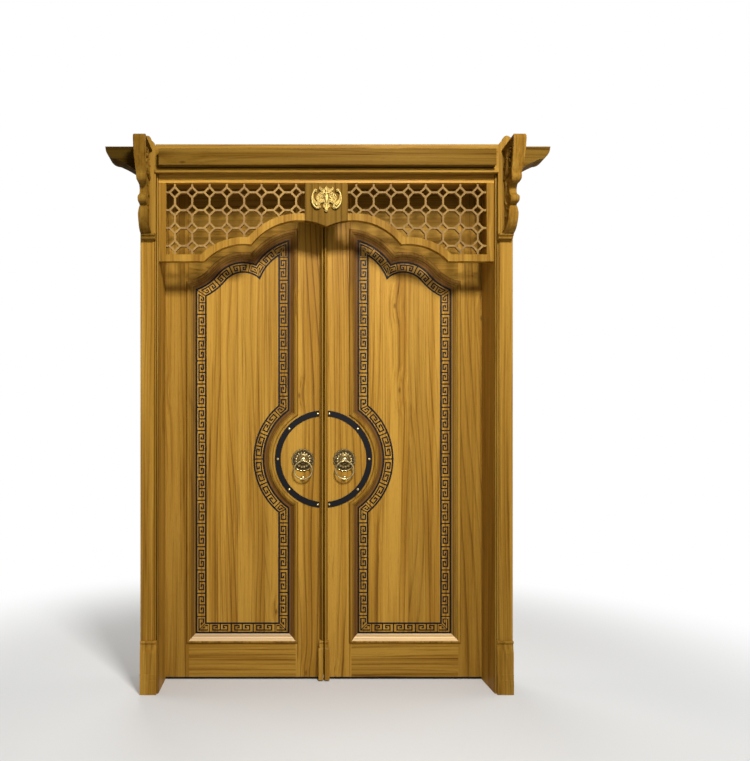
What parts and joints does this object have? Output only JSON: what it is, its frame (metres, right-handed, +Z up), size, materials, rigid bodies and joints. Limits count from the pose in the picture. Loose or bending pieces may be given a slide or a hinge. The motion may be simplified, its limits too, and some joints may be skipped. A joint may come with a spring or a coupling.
{
  "type": "double entry doors",
  "caption": "Carved wooden double entry doors in a deep frame, with a lattice valance, scroll brackets, key-pattern borders, round knocker stile and inside bar.",
  "frame": {"origin": "on the floor, at the middle of the width and of the whole depth", "axes": "+X to the right seen from outside, +Y into the house, +Z up; the outer face looks along -Y"},
  "size_m": [2.962, 0.6312, 3.791],
  "materials": {
    "oak": "clear satin oil",
    "panel_oak": "clear satin oil",
    "lattice_oak": "clear satin oil",
    "bar_oak": "clear satin oil",
    "black_inlay": "black stain, satin",
    "iron": "blackened, satin",
    "brass": "polished, a little tarnished",
    "gilt": "gilded, satin",
    "hinge_brass": "satin"
  },
  "bodies": {
    "frame": {"bat_ornament": "gilt", "crown_backing": "oak", "crown_board": "oak", "head_jamb": "oak", "left_bracket": "oak", "left_bracket_board": "oak", "left_casing": "oak", "left_frame_hinges": "hinge_brass", "left_jamb": "oak", "left_lattice": "lattice_oak", "left_plinth": "oak", "left_wing": "oak", "rear_casing_head": "oak", "rear_casing_left": "oak", "rear_casing_right": "oak", "right_bracket": "oak", "right_bracket_board": "oak", "right_casing": "oak", "right_frame_hinges": "hinge_brass", "right_jamb": "oak", "right_lattice": "lattice_oak", "right_plinth": "oak", "right_wing": "oak", "valance_centre_block": "oak", "valance_left_rail": "oak", "valance_left_stile": "oak", "valance_right_rail": "oak", "valance_right_stile": "oak", "valance_top_rail": "oak"},
    "left_leaf": {"left_hinge_stile": "oak", "left_meeting_stile": "oak", "left_bottom_rail": "oak", "left_top_rail": "oak", "left_panel": "panel_oak", "left_fret_band": "black_inlay", "left_panel_moulding": "oak", "left_astragal": "oak", "left_astragal_block": "oak", "left_iron_ring": "iron", "left_door_studs": "brass", "left_knocker_plate": "brass", "left_door_hinges": "hinge_brass", "left_bar_keeper": "bar_oak"},
    "right_leaf": {"right_hinge_stile": "oak", "right_meeting_stile": "oak", "right_bottom_rail": "oak", "right_top_rail": "oak", "right_panel": "panel_oak", "right_fret_band": "black_inlay", "right_panel_moulding": "oak", "right_astragal": "oak", "right_astragal_block": "oak", "right_iron_ring": "iron", "right_door_studs": "brass", "right_knocker_plate": "brass", "right_door_hinges": "hinge_brass", "right_bar_keepers": "bar_oak"},
    "left_knocker": {"left_knocker_ring": "brass"},
    "right_knocker": {"right_knocker_ring": "brass"},
    "bar": {"locking_bar": "bar_oak"}
  },
  "joints": [
    {"name": "left_leaf_swing", "type": "hinge", "parent": "frame", "child": "left_leaf", "pos_m": [-1.1605, 0.2711, 0], "axis": [0, 0, 1], "range_deg": [0, 105]},
    {"name": "right_leaf_swing", "type": "hinge", "parent": "frame", "child": "right_leaf", "pos_m": [1.1605, 0.2711, 0], "axis": [0, 0, -1], "range_deg": [0, 105]},
    {"name": "left_knocker_swing", "type": "hinge", "parent": "left_leaf", "child": "left_knocker", "pos_m": [-0.15, 0.1716, 1.583], "axis": [-1, 0, 0], "range_deg": [0, 80]},
    {"name": "right_knocker_swing", "type": "hinge", "parent": "right_leaf", "child": "right_knocker", "pos_m": [0.15, 0.1716, 1.583], "axis": [-1, 0, 0], "range_deg": [0, 80]},
    {"name": "bar_slide", "type": "slide", "parent": "right_leaf", "child": "bar", "axis": [-1, 0, 0], "range_m": [0, 0.13]}
  ]
}
